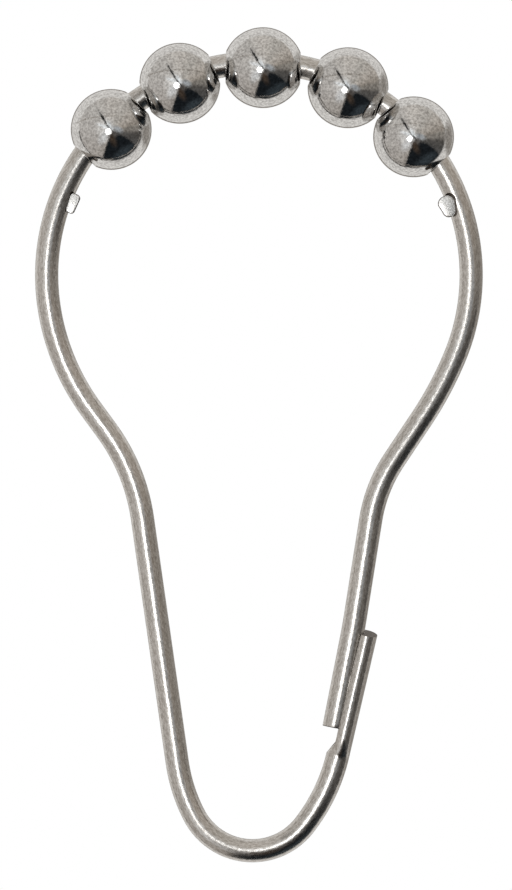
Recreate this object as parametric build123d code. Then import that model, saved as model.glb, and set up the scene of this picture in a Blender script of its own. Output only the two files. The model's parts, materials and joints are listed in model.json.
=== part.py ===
"""Shower curtain hook: a sprung wire bent to a keyhole outline, with five roller balls.

The wire is one piece. Its arch carries five hollow steel balls, kept there by two ears that
are pinched out of the wire. The right leg ends in a square cut and springs into a groove
coined along the prong, the other end of the same wire, which rises from the bow.

The outline is drawn in x (to the right) and y (up), with z towards the viewer, and is stood
up at the end: x stays X, y becomes Z and z becomes -Y. The origin is the underside of the
middle ball, where the hook bears on the curtain rod.
"""
from build123d import *
import math
import os

# Driving dimensions, in millimetres and degrees
wire_d = 2.3
arch_r = 21.0

# Balls, pressed from sheet, and the clear spaces between them from left to right
ball_d = 8.0
ball_wall = 0.35
ball_play = 0.06
ball_hang = 0.10
ball_rim_fillet = 0.12
ball_gaps = (0.18, 0.38, 0.64, 0.10)
row_shift = 1.4

# Left side of the wire, from the crown down to the leg
left_arch_turn = 96.4
left_cheek_r = 22.8
left_cheek_turn = 29.8
left_flank = 2.6
left_waist_r = 19.4

# Right side of the wire, from the crown down to the top of the nest
right_arch_turn = 112.6
right_cheek_r = 36.2
right_cheek_turn = 11.1
right_flank = 4.9
right_waist_r = 14.8
right_leg = 9.7
lean_skew = 0.9
nest_bend_r = 60.0
nest_bend_turn = 2.1

# Straight end of the right leg that lies in the prong
nest_length = 9.0

# Bow at the bottom, from the left leg round to the prong
heel_r = 16.7
heel_turn = 18.9
bow_r = 6.5
toe_r = 17.8
toe_turn = 25.0

# Prong: how it lies beside the leg, and the groove coined into it
prong_lead = 2.6
prong_splay = 1.9
nest_pitch = 1.28
tip_rise = 0.8
tip_slope = 14.0
prong_width = 2.0
prong_depth = 3.0
coin_ramp = 1.25
ramp_lean = 36.0
nest_clearance = 0.05
lip_set = 0.28
lip_taper = 3.0

# Ears that stop the balls: length along the wire, width across it, and how far past the
# inner edge of the wire the middle of each one stands
ear_t = 1.0
left_ear_length = 2.05
left_ear_width = 1.05
left_ear_offset = 0.13
left_slide_room = 3.5
right_ear_length = 2.15
right_ear_width = 1.6
right_ear_offset = 0.03
right_slide_room = 2.8

# Sizes that follow from them
wire_r = wire_d / 2
ball_r = ball_d / 2
seat_r = math.sqrt(arch_r**2 - ball_r**2) - ball_hang
ball_pitches = [2 * math.degrees(math.asin((ball_d + gap) / 2 / seat_r)) for gap in ball_gaps]
first_ball = row_shift - sum(ball_pitches) / 2
ball_angles = [first_ball + sum(ball_pitches[:i]) for i in range(len(ball_pitches) + 1)]
middle_ball = len(ball_angles) // 2
half_ball_angle = math.degrees(math.asin(ball_r / seat_r))


def unit(heading):
    """Unit vector at an angle from +x, turning towards +y."""
    return Vector(math.cos(math.radians(heading)), math.sin(math.radians(heading)))


def from_crown(angle, radius):
    """Vector from the arch's centre, at an angle to the right of straight up."""
    return unit(90 - angle) * radius


arch_centre = Vector(0, ball_r) - from_crown(ball_angles[middle_ball], seat_r)
crown = arch_centre + from_crown(0, arch_r)


class Bender:
    """Lays down the wire's centreline, one straight or one bend at a time."""

    def __init__(self, point, heading):
        self.point = point
        self.heading = heading
        self.edges = []

    def straight(self, length):
        """A straight run in the present heading."""
        run = Line(self.point, self.point + unit(self.heading) * length)
        self.edges.append(run)
        self.point = run @ 1
        return self

    def bend(self, radius, turn):
        """An arc that turns left by a positive angle and right by a negative one."""
        arc = JernArc(self.point, unit(self.heading), radius, turn)
        self.edges.append(arc)
        self.point = arc @ 1
        self.heading += turn
        return self


def right_side(lean):
    """Crown to the top of the nest, with the right leg at its lean from upright."""
    side = Bender(crown, 0)
    side.bend(arch_r, -right_arch_turn)
    side.bend(right_cheek_r, -right_cheek_turn)
    side.straight(right_flank)
    side.bend(right_waist_r, -90 - lean - lean_skew - side.heading)
    side.straight(right_leg)
    return side.bend(nest_bend_r, -nest_bend_turn)


def left_side(lean):
    """Crown to the top of the left leg."""
    side = Bender(crown, 180)
    side.bend(arch_r, left_arch_turn)
    side.bend(left_cheek_r, left_cheek_turn)
    side.straight(left_flank)
    return side.bend(left_waist_r, 270 + lean - side.heading)


def beside(heading_down):
    """Heading of the prong: back up beside the nest, a whole turn further round the wire."""
    return heading_down + 180 - prong_splay + 360


def bow(start, heading, prong_heading):
    """Heel, bow and toe, from the left leg to the foot of the prong."""
    round_turn = prong_heading - heading - heel_turn - toe_turn
    return Bender(start, heading).bend(heel_r, heel_turn).bend(bow_r, round_turn).bend(toe_r, toe_turn)


def crossing(start, direction, other, other_direction):
    """Distances along two lines to the point where they cross."""
    gap = other - start
    scale = direction.cross(other_direction).Z
    return gap.cross(other_direction).Z / scale, gap.cross(direction).Z / scale


def closing(lean):
    """Length of the left leg, and of prong below the top of the nest, at a lean."""
    right = right_side(lean)
    left = left_side(lean)
    beside_nest = right.point + unit(right.heading + 90) * nest_pitch
    up_prong = beside(right.heading)
    foot = bow(left.point, left.heading, up_prong).point
    leg, above = crossing(foot, unit(left.heading), beside_nest, unit(up_prong))
    return leg, -above


def closed_lean():
    """Lean of the left leg at which the prong reaches as far down the nest as it should."""
    least, most = 1.0, 35.0
    wanted = nest_length + prong_lead
    for _ in range(50):
        lean = (least + most) / 2
        if closing(lean)[1] > wanted:
            least = lean
        else:
            most = lean
    return lean


lean = closed_lean()
left_leg = closing(lean)[0]
right = right_side(lean)
nest_heading = right.heading
right.straight(nest_length)
leg_end = right.point

prong_heading = beside(nest_heading)
left = left_side(lean).straight(left_leg)
turned_up = bow(left.point, left.heading, prong_heading)
prong_foot = turned_up.point
prong_length = nest_length + prong_lead + tip_rise


def wire_run():
    """Round wire from the cut end of the leg, over the arch and down to the prong's foot."""
    path = Wire(right.edges[::-1] + left.edges + turned_up.edges)
    section = Plane(origin=path @ 0, z_dir=path % 0) * Circle(wire_r)
    return sweep(section, path=path)


def across_prong(distance, shift):
    """Plane across the prong, at a distance from its foot, shifted away from the leg."""
    point = prong_foot + unit(prong_heading) * distance + unit(prong_heading - 90) * shift
    return Plane(origin=point, x_dir=unit(prong_heading - 90), z_dir=unit(prong_heading))


def prong_blank():
    """Prong squeezed narrower and deeper than the wire, with its outer edge in line."""
    shift = wire_r - prong_width / 2
    squeezed = Ellipse(prong_width / 2, prong_depth / 2)
    spread = loft([across_prong(0, 0) * Circle(wire_r), across_prong(coin_ramp, shift) * squeezed])
    body = extrude(across_prong(coin_ramp, shift) * squeezed, prong_length - coin_ramp + wire_d)
    return spread + body


def nest_groove():
    """Round groove that clears the leg, closed below the leg's cut end by half a ball."""
    groove_r = wire_r + nest_clearance
    below = prong_lead - coin_ramp
    foot = Plane(origin=leg_end + unit(nest_heading) * below, z_dir=-unit(nest_heading))
    groove = extrude(foot * Circle(groove_r), below + nest_length + tip_rise + wire_d)
    return groove + foot * Sphere(groove_r)


def lip_trim():
    """Takes the thin lips back to a line that leaves the leg towards the prong's tip."""
    away = unit(nest_heading + 90)
    foot = leg_end + unit(nest_heading) * (prong_lead - coin_ramp) + away * lip_set
    top = foot + unit(nest_heading + 180 - lip_taper) * (prong_length + wire_d)
    ramp_foot = foot + unit(nest_heading - ramp_lean) * 2 * wire_d
    outline = make_face(Polyline(foot, top, top - away * 2 * wire_d, ramp_foot, close=True))
    return extrude(outline, prong_depth, both=True)


def prong():
    """Grooved prong with its tip sheared off, the cut facing a little to the front."""
    up = unit(prong_heading)
    tip = prong_foot + up * prong_length
    slope = math.radians(tip_slope)
    facing = up * math.cos(slope) + Vector(0, 0, 1) * math.sin(slope)
    grooved = prong_blank() - nest_groove() - lip_trim()
    return split(grooved, bisect_by=Plane(origin=tip, z_dir=facing), keep=Keep.BOTTOM)


def pinch_ear(frame, angle, length, width, offset):
    """Frame with an oval pressed flat from front and back, standing out past the inner edge."""
    middle = arch_centre + from_crown(angle, arch_r - wire_r - offset)
    place = Plane(origin=middle, x_dir=unit(-angle), z_dir=(0, 0, 1))
    oval = place * Ellipse(length / 2, width / 2)
    return frame - extrude(oval, wire_d, both=True) + extrude(oval, ear_t / 2, both=True)


def wire_frame():
    """The whole bent wire with its prong and both ears."""
    left_room = math.degrees((left_slide_room + left_ear_length / 2) / arch_r)
    right_room = math.degrees((right_slide_room + right_ear_length / 2) / arch_r)
    left_angle = ball_angles[0] - half_ball_angle - left_room
    right_angle = ball_angles[-1] + half_ball_angle + right_room
    frame = wire_run() + prong()
    frame = pinch_ear(frame, left_angle, left_ear_length, left_ear_width, left_ear_offset)
    return pinch_ear(frame, right_angle, right_ear_length, right_ear_width, right_ear_offset)


def roller_ball(angle):
    """Hollow ball threaded on the arch, its axis along the chord through its two holes."""
    tilt = math.asin(ball_r / arch_r)
    inner_mouth = math.sqrt((ball_r - ball_wall) ** 2 - wire_r**2)
    rise = math.sqrt(arch_r**2 - inner_mouth**2) - seat_r
    hole_r = wire_r / math.cos(tilt) + rise + ball_play
    shell = Sphere(ball_r) - Sphere(ball_r - ball_wall) - Cylinder(hole_r, ball_d)
    rims = [e for e in shell.edges().filter_by(GeomType.CIRCLE) if e.center().length > ball_r - ball_wall]
    shell = fillet(rims, min(ball_rim_fillet, ball_wall / 3))
    return Plane(origin=arch_centre + from_crown(angle, seat_r), z_dir=unit(-angle)) * shell


os.makedirs("parts", exist_ok=True)
export_step(Plane.XZ * wire_frame(), "parts/wire_frame.step")
for number, angle in enumerate(ball_angles, start=1):
    export_step(Plane.XZ * roller_ball(angle), f"parts/roller_ball_{number}.step")
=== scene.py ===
"""Shower curtain hook of bent stainless wire with five roller balls: its finished look.

Each piece is modelled in millimetres, put in place and brought to metres as its last step.
The wire is made the way the real one is: a straight round blank gets its ears pinched, its
prong coined and its ends cut, and is then bent to the keyhole outline.
"""
from __future__ import annotations

import json
import logging
import math
from contextlib import contextmanager
from dataclasses import dataclass, field
from enum import Enum
from typing import Any, Callable, Iterator

import bmesh
import bpy
from mathutils import Matrix, Vector

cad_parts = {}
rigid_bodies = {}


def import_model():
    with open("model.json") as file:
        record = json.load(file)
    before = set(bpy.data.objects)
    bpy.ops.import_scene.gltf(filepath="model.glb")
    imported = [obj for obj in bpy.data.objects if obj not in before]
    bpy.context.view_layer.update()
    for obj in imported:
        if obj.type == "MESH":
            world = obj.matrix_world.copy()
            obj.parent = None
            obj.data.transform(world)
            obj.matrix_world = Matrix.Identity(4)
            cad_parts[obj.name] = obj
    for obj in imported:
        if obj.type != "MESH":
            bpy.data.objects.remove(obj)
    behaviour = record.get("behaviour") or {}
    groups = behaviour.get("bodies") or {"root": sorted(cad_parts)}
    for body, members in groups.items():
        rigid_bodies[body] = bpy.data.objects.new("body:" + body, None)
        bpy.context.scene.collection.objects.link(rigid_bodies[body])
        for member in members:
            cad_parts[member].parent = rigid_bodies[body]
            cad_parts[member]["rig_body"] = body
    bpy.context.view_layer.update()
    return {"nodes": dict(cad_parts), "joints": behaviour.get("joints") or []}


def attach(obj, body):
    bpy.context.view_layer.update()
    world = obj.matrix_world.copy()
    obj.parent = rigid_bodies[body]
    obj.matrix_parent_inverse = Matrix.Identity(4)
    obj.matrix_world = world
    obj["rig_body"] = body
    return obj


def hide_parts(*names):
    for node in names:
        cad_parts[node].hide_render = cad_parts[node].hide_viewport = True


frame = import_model()

# One millimetre in metres, and the millimetres within which two places count as the same
MM = 0.001
NEAR = 1e-3

# Axes, and the share of a normal along one from which a face counts as facing that way
X, Z = 0, 2
FACING = 0.9

# Sockets whose names repeat for each type of data: the colours A, B and result of a Mix node,
# and the vector limits of a Map Range node
MIX_A, MIX_B, MIX_RESULT = 6, 7, 2
FROM_MIN, FROM_MAX, TO_MIN, TO_MAX = 7, 8, 9, 10

# Values between which nearly all of a noise lies, and between which its tint goes over
NOISE = (0.3, 0.7)
TINTED = (0.35, 0.65)

log = logging.getLogger("hook")


class Kind(Enum):
    """What is picked in edit mode, with the name of its list in a mesh."""

    VERT = "verts"
    EDGE = "edges"
    FACE = "faces"


class Act(Enum):
    """What a tool does to a piece."""

    CUT = "DIFFERENCE"
    JOIN = "UNION"


class Slot(Enum):
    """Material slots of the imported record."""

    WIRE = "wire"
    BALLS = "balls"


class Made(Enum):
    """How a face of the wire was made, in the order of its finishes; the sheared faces carry
    painted shade and the pressed ones a painted highlight.
    """

    DRAWN = 0
    SHEARED = 1
    PRESSED = 2


def linear(colour: str) -> tuple[float, float, float, float]:
    """Turns an sRGB hex colour to linear light.

    Args:
        colour: six hex digits after a hash.

    Returns:
        Red, green, blue and an alpha of 1.
    """
    shares = [int(colour[i : i + 2], 16) / 255 for i in (1, 3, 5)]
    light = [s / 12.92 if s <= 0.04045 else ((s + 0.055) / 1.055) ** 2.4 for s in shares]
    return (light[0], light[1], light[2], 1.0)


def add_node(
    tree: bpy.types.NodeTree, kind: str, settings: dict[str, Any], inputs: dict[Any, Any]
) -> bpy.types.Node:
    """Adds a node with its settings, and fills or links its inputs.

    Args:
        tree: the node tree.
        kind: the node's type, without its leading ShaderNode.
        settings: attributes of the node.
        inputs: for each socket, a value or the output that feeds it.

    Returns:
        The new node.
    """
    made = tree.nodes.new(f"ShaderNode{kind}")
    for name, value in settings.items():
        setattr(made, name, value)
    for socket, value in inputs.items():
        if isinstance(value, bpy.types.NodeSocket):
            tree.links.new(value, made.inputs[socket])
        else:
            made.inputs[socket].default_value = value
    return made


def choose(piece: bpy.types.Object) -> None:
    """Makes a piece the only one selected, and the active one.

    Args:
        piece: the piece.
    """
    bpy.ops.object.select_all(action="DESELECT")
    piece.select_set(True)
    bpy.context.view_layer.objects.active = piece


@contextmanager
def editing(piece: bpy.types.Object) -> Iterator[None]:
    """Edit mode on one piece, left again at the end.

    Args:
        piece: the piece.

    Yields:
        Nothing.
    """
    choose(piece)
    bpy.ops.object.mode_set(mode="EDIT")
    yield
    bpy.ops.object.mode_set(mode="OBJECT")


def pick(piece: bpy.types.Object, kind: Kind, test: Callable[[Any], bool]) -> None:
    """Selects the parts of an edited mesh that pass a test, and nothing else.

    Args:
        piece: the piece in edit mode.
        kind: vertices, edges or faces.
        test: says whether a part is wanted.
    """
    bpy.ops.mesh.select_mode(type=kind.name)
    bpy.ops.mesh.select_all(action="DESELECT")
    mesh = bmesh.from_edit_mesh(piece.data)
    for part in getattr(mesh, kind.value):
        if test(part):
            part.select_set(True)
    mesh.select_flush_mode()
    bmesh.update_edit_mesh(piece.data)


def span(edge: Any, axis: int) -> float:
    """How far an edge goes along an axis."""
    return abs(edge.verts[0].co[axis] - edge.verts[1].co[axis])


def settle(piece: bpy.types.Object) -> None:
    """Puts a piece's place, turn and size into its mesh."""
    choose(piece)
    bpy.ops.object.transform_apply(location=True, rotation=True, scale=True)


def apply_modifier(piece: bpy.types.Object, kind: str, **settings: Any) -> None:
    """Adds a modifier with its settings and applies it at once.

    Args:
        piece: the piece to change.
        kind: the modifier's type.
        settings: attributes of the modifier.
    """
    choose(piece)
    modifier = piece.modifiers.new(kind.lower(), kind)
    for name, value in settings.items():
        setattr(modifier, name, value)
    bpy.ops.object.modifier_apply(modifier=modifier.name)


def cut_or_join(piece: bpy.types.Object, tool: bpy.types.Object, act: Act) -> None:
    """Cuts a tool's shape from a piece, or joins it on, and deletes the tool.

    Args:
        piece: the piece that keeps the result.
        tool: the shape that acts on it.
        act: cut or join.
    """
    apply_modifier(piece, "BOOLEAN", object=tool, operation=act.value, solver="EXACT")
    bpy.data.objects.remove(tool)


def hand_over(piece: bpy.types.Object, name: str, node: str) -> None:
    """Brings a dressed piece in millimetres to metres and seats it on its body.

    Args:
        piece: the finished piece.
        name: its name in the file.
        node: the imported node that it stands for, on the body named like it or the wire.
    """
    piece.scale = (MM, MM, MM)
    settle(piece)
    piece.name = name
    piece.data.name = name
    body = frame["nodes"][node]["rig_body"]
    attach(piece, body)
    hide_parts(node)
    log.info("%s: %d faces, rides on %s", name, len(piece.data.polygons), body)


@dataclass(frozen=True)
class BrightSteel:
    """A stainless steel surface, as a metal with a fine grain.

    Attributes:
        name: what the steel is and how its surface was made.
        colour: of the grain's bright parts.
        dull_colour: of its dull parts.
        roughness: middle of its range.
        roughness_spread: how far the range goes to either side.
        grain_mm: width of a grain.
        grain_depth_mm: height of its relief.
        grain_stretch: its length along the wire, in widths.
        pattern: the attribute that the grain follows, or none for Object coordinates.
    """

    name: str
    colour: str
    dull_colour: str
    roughness: float
    roughness_spread: float
    grain_mm: float
    grain_depth_mm: float
    grain_stretch: float = 1.0
    pattern: str = "blank"

    def material(self) -> bpy.types.Material:
        """Builds the material.

        Returns:
            A metal whose colour, roughness and height follow one fine grain.
        """
        made = bpy.data.materials.new(self.name)
        made.use_nodes = True
        tree = made.node_tree
        tree.nodes.clear()
        out = add_node(tree, "OutputMaterial", {}, {})
        if self.pattern:
            place = add_node(
                tree, "Attribute", {"attribute_name": self.pattern}, {}
            ).outputs["Vector"]
            per_mm = 1.0
        else:
            place = add_node(tree, "TexCoord", {}, {}).outputs["Object"]
            per_mm = 1 / MM
        along = per_mm / (self.grain_mm * self.grain_stretch)
        across = per_mm / self.grain_mm
        scaled = add_node(tree, "Mapping", {}, {"Vector": place, "Scale": (along, across, across)})
        grain = add_node(
            tree,
            "TexNoise",
            {},
            {"Vector": scaled.outputs["Vector"], "Scale": 1.0, "Detail": 3.0, "Roughness": 0.6},
        )
        spread = add_node(
            tree,
            "MapRange",
            {},
            {
                "Value": grain.outputs["Fac"],
                "From Min": NOISE[0],
                "From Max": NOISE[1],
                "To Min": self.roughness - self.roughness_spread,
                "To Max": self.roughness + self.roughness_spread,
            },
        )
        tint = add_node(
            tree,
            "MapRange",
            {"data_type": "FLOAT_VECTOR"},
            {
                "Vector": grain.outputs["Fac"],
                FROM_MIN: (TINTED[0],) * 3,
                FROM_MAX: (TINTED[1],) * 3,
                TO_MIN: linear(self.dull_colour)[:3],
                TO_MAX: linear(self.colour)[:3],
            },
        )
        bump = add_node(
            tree,
            "Bump",
            {},
            {"Height": grain.outputs["Fac"], "Distance": self.grain_depth_mm * MM, "Strength": 1.0},
        )
        metal = add_node(
            tree,
            "BsdfPrincipled",
            {},
            {
                "Base Color": tint.outputs["Vector"],
                "Metallic": 1.0,
                "Roughness": spread.outputs["Result"],
                "Normal": bump.outputs["Normal"],
            },
        )
        tree.links.new(metal.outputs["BSDF"], out.inputs["Surface"])
        return made


@dataclass
class Knot:
    """A point of the wire's centreline, with its heading and its handles' lengths."""

    point: Vector
    heading: float
    before: float = 0.0
    after: float = 0.0


def unit(heading: float) -> Vector:
    """Direction at an angle from +x, turning towards +y."""
    return Vector((math.cos(math.radians(heading)), math.sin(math.radians(heading)), 0.0))


@dataclass
class Route:
    """Centreline laid down one straight or bend at a time.

    Attributes:
        point: where it has got to.
        heading: its direction there, in degrees.
        length: of what is laid.
        knots: what is laid.
        most: degrees of a bend between two knots.
    """

    point: Vector
    heading: float
    length: float = 0.0
    knots: list[Knot] = field(default_factory=list)
    most: float = 24.0

    def __post_init__(self) -> None:
        """Sets the first knot."""
        self.knots.append(Knot(self.point.copy(), self.heading))

    def straight(self, length: float) -> Route:
        """Goes on in the present heading.

        Args:
            length: of the straight.

        Returns:
            The route itself.
        """
        self.knots[-1].after = length / 3
        self.point = self.point + unit(self.heading) * length
        self.knots.append(Knot(self.point.copy(), self.heading, before=length / 3))
        self.length += length
        return self

    def bend(self, radius: float, turn: float) -> Route:
        """Adds an arc in steps of a few degrees.

        Args:
            radius: of the arc.
            turn: degrees, to the left if positive.

        Returns:
            The route itself.
        """
        steps = math.ceil(abs(turn) / self.most)
        step = turn / steps
        handle = abs(4 / 3 * math.tan(math.radians(step) / 4) * radius)
        side = math.copysign(90, turn)
        for _ in range(steps):
            self.knots[-1].after = handle
            centre = self.point + unit(self.heading + side) * radius
            self.heading += step
            self.point = centre - unit(self.heading + side) * radius
            self.knots.append(Knot(self.point.copy(), self.heading, before=handle))
        self.length += math.radians(abs(turn)) * radius
        return self

    def turned_back(self) -> list[Knot]:
        """The same knots, travelled the other way."""
        return [Knot(k.point, k.heading + 180, k.after, k.before) for k in reversed(self.knots)]


@dataclass
class Ear:
    """A stop pinched out of the wire on its inner edge.

    Attributes:
        length: of its outline, along the wire.
        width: of its outline, across the wire.
        offset: of its middle, past the wire's inner edge.
        angle: from the crown, in degrees, positive towards the left leg.
        corner, corner_segments: radius of its outline's corners, and faces of each.
        draft: slope of its recess's walls, in degrees.
        lower: 1 or -1, the side along the blank on which its lower end lies.
        narrowing: width of the lower end, as a share of the other's.
        taper_from: where the lower end starts, as a share of the length past the middle.
        flat: length of the shallow flat beside it, or 0 where there is none.
        flat_lean: tilt of the flat away from the ear's plane, in degrees.
        flat_sink: how far the flat goes below the wire's surface.
        die_width, die_depth: of the die's part that presses the flat.
        thickness: of the ear.
        rim, rim_segments: rounding of its edges, and faces of that.
        floor: height of the recess's floor over the plane of the hook.
        press: depth of the punch.
        skin: how near the wire's round surface a drawn face's middle lies.
        pressed_facing: share of a pressed face's normal to the front or back.
        flat_facing: the same for the flat.
        at: its middle in the straight blank.
    """

    length: float
    width: float
    offset: float
    angle: float
    corner: float
    draft: float
    lower: int
    narrowing: float
    corner_segments: int = 10
    taper_from: float = 0.12
    flat: float = 0.0
    flat_lean: float = 27.0
    flat_sink: float = 0.06
    die_width: float = 1.4
    die_depth: float = 0.6
    thickness: float = 1.0
    rim: float = 0.1
    rim_segments: int = 5
    floor: float = 0.49
    press: float = 2.3
    skin: float = 0.004
    pressed_facing: float = 0.97
    flat_facing: float = 0.75
    at: Vector = field(default_factory=Vector)

    def block(self, middle: float, depth: float) -> bpy.types.Object:
        """A block with the ear's round-cornered outline.

        Args:
            middle: its height over the plane of the hook.
            depth: its size from front to back.

        Returns:
            The block, its rims still sharp.
        """
        bpy.ops.mesh.primitive_cube_add(size=1, location=(self.at.x, self.at.y, middle))
        tool = bpy.context.object
        tool.scale = (self.length, self.width, depth)
        settle(tool)
        with editing(tool):
            pick(tool, Kind.EDGE, lambda e: span(e, Z) > NEAR)
            bpy.ops.mesh.bevel(offset=self.corner, segments=self.corner_segments)
            start = self.length * self.taper_from
            pick(tool, Kind.VERT, lambda v: (v.co.x - self.at.x) * self.lower > start)
            bpy.ops.transform.resize(value=(1, self.narrowing, 1), center_override=self.at)
        return tool

    def punch(self, side: int) -> bpy.types.Object:
        """The punch that sinks the ear's face, wider at its back so that the walls slope.

        Args:
            side: 1 for the front, -1 for the back.

        Returns:
            The punch in place.
        """
        tool = self.block(side * (self.floor + self.press / 2), self.press)
        spread = 1 + 2 * self.press * math.tan(math.radians(self.draft)) / self.width
        with editing(tool):
            pick(tool, Kind.FACE, lambda f: f.normal.z * side > FACING)
            bpy.ops.transform.resize(value=(spread, spread, 1), center_override=self.at)
        return tool

    def plate(self) -> bpy.types.Object:
        """The ear itself, with rounded rims.

        Returns:
            The ear in place.
        """
        tool = self.block(0, self.thickness)
        with editing(tool):
            pick(tool, Kind.EDGE, lambda e: span(e, Z) < NEAR)
            bpy.ops.mesh.bevel(offset=self.rim, segments=self.rim_segments)
        return tool

    def shoulder(self, side: int, wire_r: float) -> bpy.types.Object:
        """The part of the die that leaves a shallow flat on the wire beside the ear.

        Args:
            side: 1 for the front, -1 for the back.
            wire_r: the wire's radius.

        Returns:
            A block whose near face cuts the wire a little below its surface.
        """
        lean = math.radians(self.flat_lean)
        reach = wire_r - self.flat_sink + self.die_depth / 2
        bpy.ops.mesh.primitive_cube_add(
            size=1,
            location=(self.at.x, reach * math.sin(lean), side * reach * math.cos(lean)),
            rotation=(-side * lean, 0, 0),
        )
        tool = bpy.context.object
        tool.scale = (self.flat, self.die_width, self.die_depth)
        settle(tool)
        return tool

    def pinch(self, piece: bpy.types.Object, wire_r: float) -> None:
        """Pinches the ear out of the straight blank.

        Args:
            piece: the blank.
            wire_r: its radius.
        """
        for side in (1, -1):
            if self.flat:
                cut_or_join(piece, self.shoulder(side, wire_r), Act.CUT)
            cut_or_join(piece, self.punch(side), Act.CUT)
        cut_or_join(piece, self.plate(), Act.JOIN)

    def made(self, face: Any, wire_r: float) -> Made:
        """Says how a face of the blank was made.

        Args:
            face: the face.
            wire_r: the wire's radius.

        Returns:
            PRESSED for the ear's faces, SHEARED for its rim and walls, else DRAWN.
        """
        middle = face.calc_center_median()
        is_far = abs(middle.x - self.at.x) > self.length
        is_round = abs(math.hypot(middle.y, middle.z) - wire_r) < self.skin
        if is_far or is_round or middle.y < 0:
            return Made.DRAWN
        facing = abs(face.normal.z)
        # The ear's faces get the pressed finish, whose pale colour is a painted highlight
        if facing > self.pressed_facing:
            return Made.PRESSED
        is_flat = facing > self.flat_facing and abs(middle.z) > self.thickness / 2
        # Rims and walls get the sheared finish, whose dark brown is painted shade
        return Made.DRAWN if is_flat else Made.SHEARED


@dataclass
class WireFrame:
    """The one bent wire: arch, ears, left leg, bow, prong and right leg.

    Its main sizes are those of the solid. The balls' middles lie on seat_r, and the lean and
    the left leg's length are the ones at which the prong comes to lie beside the nest.
    """

    wire_d: float = 2.3
    arch_r: float = 21.0
    seat_r: float = 20.5163

    left_arch_turn: float = 96.4
    left_cheek_r: float = 22.8
    left_cheek_turn: float = 29.8
    left_flank: float = 2.6
    left_waist_r: float = 19.4
    lean: float = 8.117
    left_leg: float = 24.344

    right_arch_turn: float = 112.6
    right_cheek_r: float = 36.2
    right_cheek_turn: float = 11.1
    right_flank: float = 4.9
    right_waist_r: float = 14.8
    right_leg: float = 9.7
    lean_skew: float = 0.9
    nest_bend_r: float = 60.0
    nest_bend_turn: float = 2.1
    nest_length: float = 9.0

    heel_r: float = 16.7
    heel_turn: float = 18.9
    bow_r: float = 6.5
    toe_r: float = 17.8
    toe_turn: float = 25.0

    prong_lead: float = 2.6
    prong_splay: float = 1.9
    nest_pitch: float = 1.28
    tip_rise: float = 0.8
    tip_slope: float = 11.0
    prong_width: float = 2.0
    prong_depth: float = 3.0
    coin_ramp: float = 1.25
    ramp_lean: float = 24.0
    trim_foot: float = 0.9
    run_out: float = 0.15
    nest_clearance: float = 0.05
    lip_set: float = 0.28
    lip_taper: float = 3.0
    end_bevel: float = 0.07
    end_bevel_segments: int = 3
    coin_ease: float = 1.45
    ramp_cuts: int = 8

    leg_cut_reach: float = 0.1
    leg_cut_facing: float = 0.2
    tip_cut_reach: float = 1.0
    tip_cut_facing: float = 0.5
    crease_from: float = -0.15
    smooth_angle: float = 32.0

    sides: int = 64
    first_cuts: int = 20
    second_cuts: int = 19
    path_steps: int = 64

    wire_r: float = field(init=False)
    prong_length: float = field(init=False)
    ears: tuple[Ear, ...] = field(init=False)
    arch_centre: Vector = field(init=False)
    knots: list[Knot] = field(init=False)
    crown_at: float = field(init=False)
    length: float = field(init=False)

    def __post_init__(self) -> None:
        """Works out what follows from the sizes."""
        self.wire_r = self.wire_d / 2
        self.prong_length = self.nest_length + self.prong_lead + self.tip_rise
        self.ears = (
            Ear(
                length=2.15, width=1.6, offset=0.03, angle=-70.04,
                corner=0.76, draft=22, lower=-1, narrowing=0.8,
            ),
            Ear(
                length=2.0, width=0.98, offset=0.15, angle=69.02,
                corner=0.4, draft=20, lower=1, narrowing=0.85, flat=1.6,
            ),
        )
        middle = frame["joints"][len(frame["joints"]) // 2]
        seat = Vector(middle["pos_m"]) / MM
        upward = Vector((-middle["axis"][2], middle["axis"][0]))
        self.arch_centre = Vector((seat.x, seat.z, 0)) - Vector((*upward, 0)) * self.seat_r
        self.knots = self.centreline()

    def centreline(self) -> list[Knot]:
        """Lays out the route from the leg's cut end over the arch to the prong's tip.

        Returns:
            Its knots in order, in the plane of the hook.
        """
        crown = self.arch_centre + Vector((0, self.arch_r, 0))
        right = Route(crown, 0).bend(self.arch_r, -self.right_arch_turn)
        right.bend(self.right_cheek_r, -self.right_cheek_turn).straight(self.right_flank)
        right.bend(self.right_waist_r, -90 - self.lean - self.lean_skew - right.heading)
        right.straight(self.right_leg).bend(self.nest_bend_r, -self.nest_bend_turn)
        right.straight(self.nest_length)
        left = Route(crown, 180).bend(self.arch_r, self.left_arch_turn)
        left.bend(self.left_cheek_r, self.left_cheek_turn).straight(self.left_flank)
        left.bend(self.left_waist_r, 270 + self.lean - left.heading).straight(self.left_leg)
        prong_heading = right.heading + 180 - self.prong_splay + 360
        round_turn = prong_heading - left.heading - self.heel_turn - self.toe_turn
        left.bend(self.heel_r, self.heel_turn).bend(self.bow_r, round_turn)
        left.bend(self.toe_r, self.toe_turn).straight(self.prong_length)
        self.crown_at = right.length
        self.length = right.length + left.length
        joined = right.turned_back()
        joined[-1].after = left.knots[0].after
        return joined + left.knots[1:]

    def blank(self) -> bpy.types.Object:
        """Makes the straight round blank along +x, with the leg's cut end at the origin.

        Returns:
            The blank, ringed finely enough to bend.
        """
        bpy.ops.mesh.primitive_cylinder_add(
            vertices=self.sides,
            radius=self.wire_r,
            depth=self.length + self.wire_d,
            location=((self.length + self.wire_d) / 2, 0, 0),
            rotation=(0, math.pi / 2, 0),
        )
        piece = bpy.context.object
        settle(piece)
        with editing(piece):
            for cuts in (self.first_cuts, self.second_cuts):
                pick(piece, Kind.EDGE, lambda e: span(e, X) > NEAR)
                bpy.ops.mesh.subdivide(number_cuts=cuts)
        return piece

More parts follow.
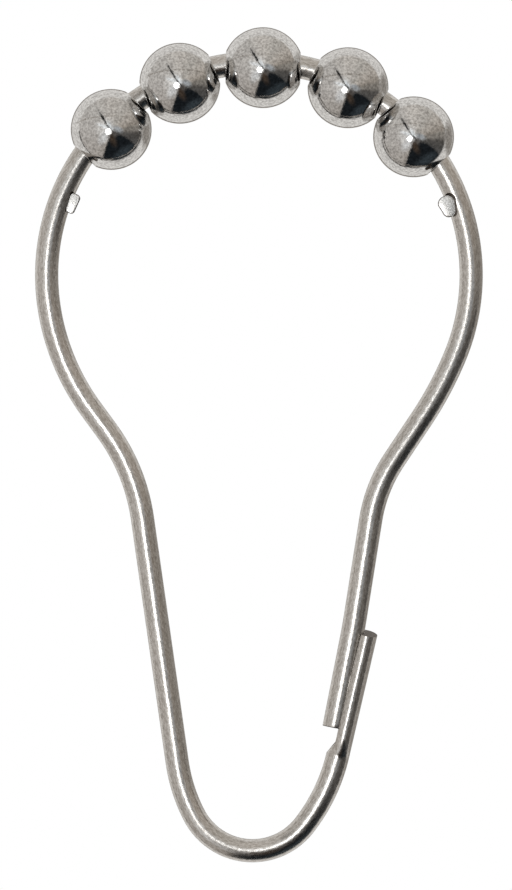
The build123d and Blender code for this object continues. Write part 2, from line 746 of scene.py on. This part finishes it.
    def squeeze(self, piece: bpy.types.Object) -> None:
        """Coins the prong's end of the blank narrower and deeper, over a short eased ramp.

        Args:
            piece: the round blank.
        """
        foot = self.length - self.prong_length
        ramp = self.coin_ramp * self.coin_ease
        shift = self.wire_r - self.prong_width / 2
        narrow = self.prong_width / self.wire_d
        deep = self.prong_depth / self.wire_d
        with editing(piece):
            for step in range(self.ramp_cuts + 1):
                at = foot + ramp * step / self.ramp_cuts
                bpy.ops.mesh.select_all(action="SELECT")
                bpy.ops.mesh.bisect(plane_co=(at, 0, 0), plane_no=(1, 0, 0))
            mesh = bmesh.from_edit_mesh(piece.data)
            rings = sorted({round(v.co.x, 3) for v in mesh.verts if v.co.x > foot + NEAR})
            for at in rings:
                share = 1 - max(0.0, 1 - (at - foot) / ramp) ** 2
                pick(piece, Kind.VERT, lambda v: abs(v.co.x - at) < NEAR)
                bpy.ops.transform.resize(
                    value=(1, 1 + share * (narrow - 1), 1 + share * (deep - 1)),
                    center_override=(at, 0, 0),
                )
                bpy.ops.transform.translate(value=(0, -share * shift, 0))

    def nest_line(self) -> tuple[Vector, Vector, Vector]:
        """Where the leg lies beside the prong in the straight blank.

        Returns:
            The leg's cut end, its direction up, and the direction from leg to prong.
        """
        up = unit(self.prong_splay)
        away = unit(self.prong_splay - 90)
        top_of_nest = self.length - self.tip_rise
        top = Vector((top_of_nest, 0, 0)) - away * self.nest_pitch
        return top - up * self.nest_length, up, away

    def groove(self, piece: bpy.types.Object) -> None:
        """Sinks the round groove that the leg springs into, with a tapered run-out at its foot.

        Args:
            piece: the blank with its squeezed end.
        """
        leg_end, up, _ = self.nest_line()
        groove_r = self.wire_r + self.nest_clearance
        below = self.prong_lead - self.coin_ramp
        length = self.prong_length + self.wire_d * 3
        bpy.ops.mesh.primitive_cylinder_add(
            vertices=self.sides,
            radius=groove_r,
            depth=length,
            location=(length / 2, 0, 0),
            rotation=(0, math.pi / 2, 0),
        )
        tool = bpy.context.object
        settle(tool)
        with editing(tool):
            pick(tool, Kind.FACE, lambda f: f.normal.x < -FACING)
            bpy.ops.mesh.extrude_region_move(TRANSFORM_OT_translate={"value": (-groove_r, 0, 0)})
            bpy.ops.transform.resize(
                value=(1, self.run_out, self.run_out), center_override=(-groove_r, 0, 0)
            )
        tool.rotation_euler = (0, 0, math.radians(self.prong_splay))
        tool.location = leg_end - up * below
        settle(tool)
        cut_or_join(piece, tool, Act.CUT)

    def trim_lips(self, piece: bpy.types.Object) -> None:
        """Takes the groove's thin lips back, with a ramp at their foot.

        Args:
            piece: the grooved blank.
        """
        leg_end, up, away = self.nest_line()
        foot = leg_end - up * self.trim_foot + away * self.lip_set
        size = self.prong_length * 3
        bpy.ops.mesh.primitive_cube_add(size=size, location=foot)
        tool = bpy.context.object
        settle(tool)
        with editing(tool):
            for normal in (
                unit(self.prong_splay - self.lip_taper - 90),
                unit(180 + self.prong_splay - self.ramp_lean + 90),
            ):
                bpy.ops.mesh.select_all(action="SELECT")
                bpy.ops.mesh.bisect(plane_co=foot, plane_no=normal, use_fill=True, clear_outer=True)
        cut_or_join(piece, tool, Act.CUT)

    def shear_tip(self, piece: bpy.types.Object) -> None:
        """Shears the tip off, the cut facing a little to the front.

        Args:
            piece: the grooved and trimmed blank.
        """
        slope = math.radians(self.tip_slope)
        with editing(piece):
            bpy.ops.mesh.select_all(action="SELECT")
            bpy.ops.mesh.bisect(
                plane_co=(self.length, 0, 0),
                plane_no=(math.cos(slope), 0, math.sin(slope)),
                use_fill=True,
                clear_outer=True,
            )

    def pinch_ears(self, piece: bpy.types.Object) -> None:
        """Pinches both ears where the arch will be, as long as the bend needs them.

        Args:
            piece: the blank.
        """
        for ear in self.ears:
            stand = self.wire_r + ear.offset
            ear.at = Vector((self.crown_at + self.arch_r * math.radians(ear.angle), stand, 0))
            ear.length *= self.arch_r / (self.arch_r - stand)
            ear.pinch(piece, self.wire_r)

    def dull_edges(self, piece: bpy.types.Object) -> None:
        """Takes the burr off the leg's cut end, and keeps the crease at the prong's foot.

        Args:
            piece: the blank with all its cuts.
        """
        foot = self.length - self.prong_length
        with editing(piece):
            pick(piece, Kind.EDGE, lambda e: all(abs(v.co.x) < NEAR for v in e.verts))
            bpy.ops.mesh.bevel(offset=self.end_bevel, segments=self.end_bevel_segments)
            pick(
                piece,
                Kind.EDGE,
                lambda e: all(
                    abs(v.co.x - foot) < NEAR and v.co.y > self.crease_from for v in e.verts
                ),
            )
            bpy.ops.mesh.mark_sharp()

    def way_made(self, face: Any) -> Made:
        """Says how a face of the straight blank was made.

        Args:
            face: the face.

        Returns:
            SHEARED for both cut ends, and what the nearest ear says for the rest.
        """
        at = face.calc_center_median().x
        if at < self.leg_cut_reach and face.normal.x < -self.leg_cut_facing:
            return Made.SHEARED
        if at > self.length - self.tip_cut_reach and face.normal.x > self.tip_cut_facing:
            return Made.SHEARED
        near = min(self.ears, key=lambda ear: abs(ear.at.x - at))
        return near.made(face, self.wire_r)

    def dress(self, piece: bpy.types.Object, finishes_and_painted_light: dict[Made, bpy.types.Material]) -> None:
        """Gives the drawn, sheared and pressed faces of the straight blank their finishes, with
        painted shade on the sheared faces and a painted highlight on the pressed ones.

        Args:
            piece: the blank with all its cuts.
            finishes_and_painted_light: a material for each way that a face is made.
        """
        for way in Made:
            piece.data.materials.append(finishes_and_painted_light[way])
        with editing(piece):
            for way in (Made.SHEARED, Made.PRESSED):
                pick(piece, Kind.FACE, lambda f: self.way_made(f) is way)
                piece.active_material_index = way.value
                bpy.ops.object.material_slot_assign()

    def bend(self, piece: bpy.types.Object) -> None:
        """Bends the blank along the centreline and stands it up.

        Each point first keeps its place in the straight blank, which the grain follows.

        Args:
            piece: the dressed blank.
        """
        mark = piece.data.attributes.new("blank", "FLOAT_VECTOR", "POINT")
        for vertex, value in zip(piece.data.vertices, mark.data):
            value.vector = vertex.co
        bpy.ops.curve.primitive_bezier_curve_add()
        path = bpy.context.object
        path.data.dimensions = "2D"
        path.data.resolution_u = self.path_steps
        path.data.use_deform_bounds = False
        spline = path.data.splines[0]
        spline.bezier_points.add(len(self.knots) - len(spline.bezier_points))
        for point, knot in zip(spline.bezier_points, self.knots):
            point.handle_left_type = point.handle_right_type = "FREE"
            point.co = knot.point
            point.handle_left = knot.point - unit(knot.heading) * knot.before
            point.handle_right = knot.point + unit(knot.heading) * knot.after
        apply_modifier(piece, "CURVE", object=path, deform_axis="POS_X")
        bpy.data.objects.remove(path)
        piece.rotation_euler = (math.pi / 2, 0, 0)
        settle(piece)

    def build(self, finishes_and_painted_light: dict[Made, bpy.types.Material]) -> None:
        """Makes the whole wire and hands it over.

        Args:
            finishes_and_painted_light: a material for each way that a face is made.
        """
        piece = self.blank()
        self.squeeze(piece)
        self.groove(piece)
        self.trim_lips(piece)
        self.shear_tip(piece)
        self.pinch_ears(piece)
        self.dull_edges(piece)
        self.dress(piece, finishes_and_painted_light)
        self.bend(piece)
        choose(piece)
        bpy.ops.object.shade_smooth_by_angle(angle=math.radians(self.smooth_angle))
        hand_over(piece, "bent_wire", "wire_frame")


@dataclass
class RollerBalls:
    """Five hollow balls pressed from sheet, alike, each threaded on the arch."""

    ball_d: float = 8.0
    wall: float = 0.35
    hole_r: float = 1.4275
    rim_fillet: float = 0.12
    rim_segments: int = 5
    segments: int = 128
    rings: int = 80

    def shell(self, radius: float) -> bpy.types.Object:
        """A sphere with both poles cut off where the hole passes.

        Args:
            radius: of the sphere.

        Returns:
            The open surface, its axis along z.
        """
        bpy.ops.mesh.primitive_uv_sphere_add(
            segments=self.segments, ring_count=self.rings, radius=radius
        )
        surface = bpy.context.object
        height = math.sqrt(radius**2 - self.hole_r**2)
        with editing(surface):
            for side in (1, -1):
                bpy.ops.mesh.select_all(action="SELECT")
                bpy.ops.mesh.bisect(
                    plane_co=(0, 0, side * height), plane_no=(0, 0, side), clear_outer=True
                )
        return surface

    def ball(self) -> bpy.types.Object:
        """Makes one ball with its wall and its rounded hole rims.

        Returns:
            The ball at the origin, its holes along z.
        """
        ball_r = self.ball_d / 2
        inner = self.shell(ball_r - self.wall)
        with editing(inner):
            bpy.ops.mesh.select_all(action="SELECT")
            bpy.ops.mesh.flip_normals()
        outer = self.shell(ball_r)
        inner.select_set(True)
        bpy.ops.object.join()
        for side in (1, -1):
            with editing(outer):
                pick(outer, Kind.EDGE, lambda e: e.is_boundary and e.verts[0].co.z * side > 0)
                bpy.ops.mesh.bridge_edge_loops()
        mouth = math.sqrt(ball_r**2 - self.hole_r**2)
        with editing(outer):
            pick(outer, Kind.EDGE, lambda e: all(abs(abs(v.co.z) - mouth) < NEAR for v in e.verts))
            bpy.ops.mesh.bevel(offset=self.rim_fillet, segments=self.rim_segments)
        choose(outer)
        bpy.ops.object.shade_smooth()
        return outer

    def build(self, finish: bpy.types.Material) -> None:
        """Makes one ball and copies it to each joint, from left to right.

        Args:
            finish: the balls' material.
        """
        pattern = self.ball()
        pattern.data.materials.append(finish)
        for number, joint in enumerate(frame["joints"], start=1):
            choose(pattern)
            bpy.ops.object.duplicate()
            piece = bpy.context.object
            seat = Matrix.Translation(Vector(joint["pos_m"]) / MM)
            turn = Vector((0, 0, 1)).rotation_difference(Vector(joint["axis"]))
            piece.matrix_world = seat @ turn.to_matrix().to_4x4()
            settle(piece)
            hand_over(piece, f"steel_ball_{number}", f"roller_ball_{number}")
        bpy.data.objects.remove(pattern)


@dataclass(frozen=True)
class Oval:
    """A soft-edged oval in the disc of a mirror ball that is seen from the front.

    Attributes:
        centre: its place, in radii of the disc.
        half: its half sizes.
        turn: in degrees, counterclockwise.
        soft: half width of its edge, as a share of its half size.
        line: the same for its outline, where only that is wanted.
    """

    centre: tuple[float, float]
    half: tuple[float, float]
    turn: float = 0.0
    soft: float = 0.05
    line: float = 0.0

    def mask(self, tree: bpy.types.NodeTree, spot: bpy.types.NodeSocket) -> bpy.types.NodeSocket:
        """Builds the oval.

        Args:
            tree: the world's nodes.
            spot: the place in the mirror ball.

        Returns:
            1 inside the oval and 0 outside it, or 1 along its outline where line is set.
        """
        placed = {
            "Vector": spot,
            "Location": (*self.centre, 0),
            "Rotation": (0, 0, math.radians(self.turn)),
            "Scale": (*self.half, 1),
        }
        inside = add_node(tree, "Mapping", {"vector_type": "TEXTURE"}, placed)
        reach = add_node(tree, "VectorMath", {"operation": "LENGTH"}, {0: inside.outputs[0]})
        distance = reach.outputs["Value"]
        if self.line:
            outline = {0: distance, 1: 1.0, 2: self.line}
            return add_node(tree, "Math", {"operation": "COMPARE"}, outline).outputs[0]
        smooth = {"interpolation_type": "SMOOTHSTEP"}
        edge = {"Value": distance, "From Min": 1.0 + self.soft, "From Max": 1.0 - self.soft}
        return add_node(tree, "MapRange", smooth, edge).outputs[0]


@dataclass(frozen=True)
class Panel:
    """A part of the tent with its own brightness, where all its ovals overlap."""

    colour: str
    ovals: tuple[Oval, ...]
    strength: float = 1.0

    def lay(
        self, tree: bpy.types.NodeTree, spot: bpy.types.NodeSocket, under: bpy.types.NodeSocket
    ) -> bpy.types.NodeSocket:
        """Lays the panel over what is there.

        Args:
            tree: the world's nodes.
            spot: the place in the mirror ball.
            under: the colour so far.

        Returns:
            The colour with the panel on it.
        """
        share = self.ovals[0].mask(tree, spot)
        for oval in self.ovals[1:]:
            both = {0: share, 1: oval.mask(tree, spot)}
            share = add_node(tree, "Math", {"operation": "MULTIPLY"}, both).outputs[0]
        shade = tuple(c * self.strength for c in linear(self.colour)[:3])
        mixed = {"Factor": share, MIX_A: under, MIX_B: (*shade, 1)}
        return add_node(tree, "Mix", {"data_type": "RGBA"}, mixed).outputs[MIX_RESULT]


# The left side of the dark wedge, nearly straight: the edge of a very wide oval
WEDGE_SIDE = Oval((3.83, -1.85), (4.2, 4.2), soft=0.006)


@dataclass
class Studio:
    """White background, soft light tent, pale floor and camera.

    Attributes:
        centre_x, centre_z: middle of the view.
        view_height: what the view takes in.
        distance: of the camera.
        nearest: where the camera starts to see.
        sensor: its longer side.
        floor_z, floor_r, floor_sides: height, radius and sides of the floor.
        floor_colour, floor_roughness: of its board.
        lens_spot: where the lens's hole lies in a mirror ball.
        gores: the cloth's colours, each at its angle round the lens.
        sheet: colour of the sheet behind the cloth.
        cloth_edge: where the cloth ends and the sheet starts.
        panels: what is laid over both, in order.
        box_y, box_x, box_z: place of the soft box, from end to end.
        box_light: its brightness, where 1 is white.
    """

    centre_x: float = -0.700
    centre_z: float = -33.331
    view_height: float = 88.052
    distance: float = 1000.0
    nearest: float = 10.0
    sensor: float = 36.0
    floor_z: float = -150.0
    floor_r: float = 420.0
    floor_sides: int = 96
    floor_colour: str = "#F2F1EF"
    floor_roughness: float = 0.9
    lens_spot: tuple[float, float] = (0.0, -0.07)
    gores: tuple[tuple[float, str], ...] = (
        (-180, "#D2CECA"),
        (-115, "#BAB4AE"),
        (-20, "#595857"),
        (-3, "#625F5C"),
        (6, "#97928C"),
        (14, "#99948D"),
        (20, "#AAA299"),
        (37, "#CDC6BE"),
        (62, "#CBC7C1"),
        (90, "#DFDAD4"),
        (122, "#D4D1CD"),
        (180, "#D2CECA"),
    )
    sheet: str = "#F1EFEC"
    cloth_edge: Oval = Oval((0, 0), (0.785, 0.785), soft=0.03)
    panels: tuple[Panel, ...] = (
        # Shade at the right-hand edge of the sheet
        Panel("#A39E98", (Oval((0.87, -0.03), (0.1, 0.42), soft=0.5),)),
        # A seam across the upper half
        Panel("#9C948B", (Oval((0, 0), (1.0, 0.32), line=0.02), Oval((0, 0.5), (1.2, 0.48)))),
        # A glow at the lens, with a straight right side
        Panel(
            "#F6F5F3",
            (Oval((-0.08, 0.0), (0.24, 0.22), soft=0.6), Oval((-1.94, 0), (2, 2), soft=0.02)),
        ),
        # A pale patch at the lens's lower left and a bluish one at its right
        Panel("#F0F1F2", (Oval((-0.17, -0.2), (0.17, 0.1), turn=55, soft=0.7),)),
        Panel("#B4B9BE", (Oval((0.16, -0.01), (0.12, 0.07), turn=-20, soft=0.6),)),
        # Two bright streaks at the lens and to its left
        Panel("#E8EEF2", (Oval((-0.02, 0.06), (0.12, 0.035), turn=118, soft=0.6),), 1.3),
        Panel("#F4F8FB", (Oval((-0.17, 0.06), (0.16, 0.035), turn=160, soft=0.6),), 1.2),
        # The dark wedge below the lens, and its paler point
        Panel(
            "#1E2226",
            (
                Oval((0.1, -1.14), (0.74, 1.0), soft=0.025),
                WEDGE_SIDE,
                Oval((0, 0), (0.77, 0.77), soft=0.02),
            ),
        ),
        Panel("#66625F", (Oval((0.06, -0.13), (0.09, 0.09), soft=0.5), WEDGE_SIDE)),
        # A brown and a grey gleam in the wedge
        Panel("#4B4037", (Oval((0.03, -0.25), (0.16, 0.07), turn=-62, soft=0.8),)),
        Panel("#3C444A", (Oval((0.33, -0.56), (0.26, 0.1), turn=32, soft=0.7),)),
        # The bent dark line that rises from the lens, in two parts
        Panel("#1B1C1E", (Oval((-0.2, 0.27), (0.22, 0.026), turn=120, soft=0.4),)),
        Panel("#3A3A3B", (Oval((-0.02, 0.0), (0.15, 0.016), turn=133, soft=0.6),)),
        # A dark line along the cloth's lower left edge
        Panel(
            "#2A2725", (Oval((0, 0), (0.785, 0.785), line=0.012), Oval((-0.6, -0.5), (0.5, 0.5)))
        ),
        # The far end of the tent, which outlines each ball
        Panel("#96918B", (Oval((0, 0), (0.987, 0.987), line=0.0145),)),
    )
    box_y: float = -400.0
    box_x: tuple[float, float] = (-119.0, -19.0)
    box_z: tuple[float, float] = (-112.0, -2.0)
    box_light: float = 6.6

    def camera(self) -> None:
        """A long lens straight in front of the hook."""
        lens = self.sensor * self.distance / self.view_height
        bpy.ops.object.camera_add(
            location=(self.centre_x * MM, -self.distance * MM, self.centre_z * MM),
            rotation=(math.pi / 2, 0, 0),
        )
        camera = bpy.context.object
        camera.data.sensor_width = self.sensor
        camera.data.lens = lens
        camera.data.clip_start = self.nearest * MM
        bpy.context.scene.camera = camera

    def soft_box(self) -> None:
        """A small bright soft box: a stripe along the satin wire, a spot on the polished balls."""
        (left, right), (low, high) = self.box_x, self.box_z
        bpy.ops.object.light_add(
            type="AREA",
            location=((left + right) / 2 * MM, self.box_y * MM, (low + high) / 2 * MM),
            rotation=(math.pi / 2, 0, 0),
        )
        lamp = bpy.context.object
        lamp.name = "soft_box"
        lamp.visible_camera = False
        lamp.data.shape = "ELLIPSE"
        lamp.data.size = (right - left) * MM
        lamp.data.size_y = (high - low) * MM
        # Its power is its brightness times pi times its area
        area = math.pi / 4 * lamp.data.size * lamp.data.size_y
        lamp.data.energy = self.box_light * math.pi * area

    def floor(self) -> None:
        """A pale round floor well below the hanging hook."""
        bpy.ops.mesh.primitive_circle_add(
            vertices=self.floor_sides,
            radius=self.floor_r * MM,
            fill_type="NGON",
            location=(0, 0, self.floor_z * MM),
        )
        floor = bpy.context.object
        settle(floor)
        floor.name = "studio_floor"
        made = bpy.data.materials.new("matt white studio board")
        made.use_nodes = True
        board = made.node_tree.nodes["Principled BSDF"].inputs
        board["Base Color"].default_value = linear(self.floor_colour)
        board["Roughness"].default_value = self.floor_roughness
        floor.data.materials.append(made)
        floor.visible_glossy = False

    def tent(self) -> None:
        """Paints the light tent round the hook, and plain white for the camera."""
        world = bpy.data.worlds.new("light_tent")
        bpy.context.scene.world = world
        world.use_nodes = True
        tree = world.node_tree
        tree.nodes.clear()
        spot = self.mirror_place(tree)
        tented = {
            "Factor": self.cloth_edge.mask(tree, spot),
            MIX_A: linear(self.sheet),
            MIX_B: self.cloth(tree, spot),
        }
        colour = add_node(tree, "Mix", {"data_type": "RGBA"}, tented).outputs[MIX_RESULT]
        for panel in self.panels:
            colour = panel.lay(tree, spot, colour)
        path = add_node(tree, "LightPath", {}, {})
        plain = {"Factor": path.outputs["Is Camera Ray"], MIX_A: colour, MIX_B: (1, 1, 1, 1)}
        seen = add_node(tree, "Mix", {"data_type": "RGBA"}, plain).outputs[MIX_RESULT]
        light = add_node(tree, "Background", {}, {"Color": seen})
        add_node(tree, "OutputWorld", {}, {"Surface": light.outputs[0]})

    def mirror_place(self, tree: bpy.types.NodeTree) -> bpy.types.NodeSocket:
        """Finds where a mirror ball, seen from the front, shows each direction.

        The ball's normal there is the direction less the line of sight, (x, y - 1, z), brought
        to a length of one. Its length before is the root of 2 - 2y, and a hair is added so that
        the far end of the tent doesn't divide by zero.

        Args:
            tree: the world's nodes.

        Returns:
            A place in the unit disc, right and up, for the direction looked at.
        """
        way = add_node(tree, "TexCoord", {}, {}).outputs["Generated"]
        axes = add_node(tree, "SeparateXYZ", {}, {0: way})
        doubled = {0: axes.outputs["Y"], 1: -2.0, 2: 2.0001}
        square = add_node(tree, "Math", {"operation": "MULTIPLY_ADD"}, doubled)
        length = {0: square.outputs[0]}
        shorten = add_node(tree, "Math", {"operation": "INVERSE_SQRT"}, length)
        upright = {"X": axes.outputs["X"], "Y": axes.outputs["Z"]}
        flat = add_node(tree, "CombineXYZ", {}, upright)
        place = {0: flat.outputs[0], "Scale": shorten.outputs[0]}
        return add_node(tree, "VectorMath", {"operation": "SCALE"}, place).outputs[0]

    def cloth(self, tree: bpy.types.NodeTree, spot: bpy.types.NodeSocket) -> bpy.types.NodeSocket:
        """Colours the tent's cloth by the angle round the lens.

        Args:
            tree: the world's nodes.
            spot: the place in the mirror ball.

        Returns:
            The cloth's colour.
        """
        from_lens = {0: spot, 1: (*self.lens_spot, 0)}
        centred = add_node(tree, "VectorMath", {"operation": "SUBTRACT"}, from_lens)
        axes = add_node(tree, "SeparateXYZ", {}, {0: centred.outputs[0]})
        legs = {0: axes.outputs["Y"], 1: axes.outputs["X"]}
        angle = add_node(tree, "Math", {"operation": "ARCTAN2"}, legs)
        turned = {"Value": angle.outputs[0], "From Min": -math.pi, "From Max": math.pi}
        share = add_node(tree, "MapRange", {}, turned)
        ramp = add_node(tree, "ValToRGB", {}, {"Fac": share.outputs[0]})
        elements = ramp.color_ramp.elements
        while len(elements) < len(self.gores):
            elements.new(0.5)
        for element, (turn, colour) in zip(elements, self.gores):
            element.position = (turn + 180) / 360
            element.color = linear(colour)
        return ramp.outputs["Color"]

    def build(self) -> None:
        """Sets up the whole studio."""
        scene = bpy.context.scene
        scene.view_settings.view_transform = "Standard"
        self.camera()
        self.soft_box()
        self.floor()
        self.tent()


# Drawn through a die and tumbled: soft bright stripes along the wire, with a fine short grain.
# The real grain is a few hundredths of a millimetre wide; this one is coarser, to show.
DRAWN_WIRE = BrightSteel(
    name="drawn and tumbled stainless wire",
    colour="#DAD7D3",
    dull_colour="#ADA8A2",
    roughness=0.23,
    roughness_spread=0.05,
    grain_mm=0.13,
    grain_stretch=3,
    grain_depth_mm=0.009,
)
# Sheared and left as cut, dull; its dark brown is painted shade, which shows the cut ends and the
# ears' rims and walls as lines.
SHEARED_EDGE_AND_SHADE = BrightSteel(
    name="sheared stainless wire",
    colour="#5C5148",
    dull_colour="#3E362F",
    roughness=0.34,
    roughness_spread=0.08,
    grain_mm=0.12,
    grain_depth_mm=0.02,
)
# Pressed cold between rough dies: mottled, with no mirror image; its pale colour is a painted
# highlight.
PRESSED_EAR_AND_HIGHLIGHT = BrightSteel(
    name="cold-pressed stainless ear",
    colour="#F0EFED",
    dull_colour="#B5B2AD",
    roughness=0.27,
    roughness_spread=0.08,
    grain_mm=0.16,
    grain_depth_mm=0.01,
)
# Tumbled and polished: a near mirror, a little clouded. The clouding is drawn coarser than
# the few hundredths of a millimetre of the real one, to show.
TUMBLED_BALL = BrightSteel(
    name="tumbled stainless ball",
    colour="#E6E5E3",
    dull_colour="#ABA9A7",
    roughness=0.06,
    roughness_spread=0.03,
    grain_mm=0.24,
    grain_depth_mm=0.006,
    pattern="",
)


def main() -> None:
    """Builds the studio and every piece."""
    logging.basicConfig(level=logging.INFO, format="%(message)s")
    Studio().build()
    # The sheared finish carries painted shade and the pressed one a painted highlight
    finishes_and_painted_light = {Made.DRAWN: DRAWN_WIRE, Made.SHEARED: SHEARED_EDGE_AND_SHADE, Made.PRESSED: PRESSED_EAR_AND_HIGHLIGHT}
    WireFrame().build({way: steel.material() for way, steel in finishes_and_painted_light.items()})
    RollerBalls().build(TUMBLED_BALL.material())


if __name__ == "__main__":
    main()
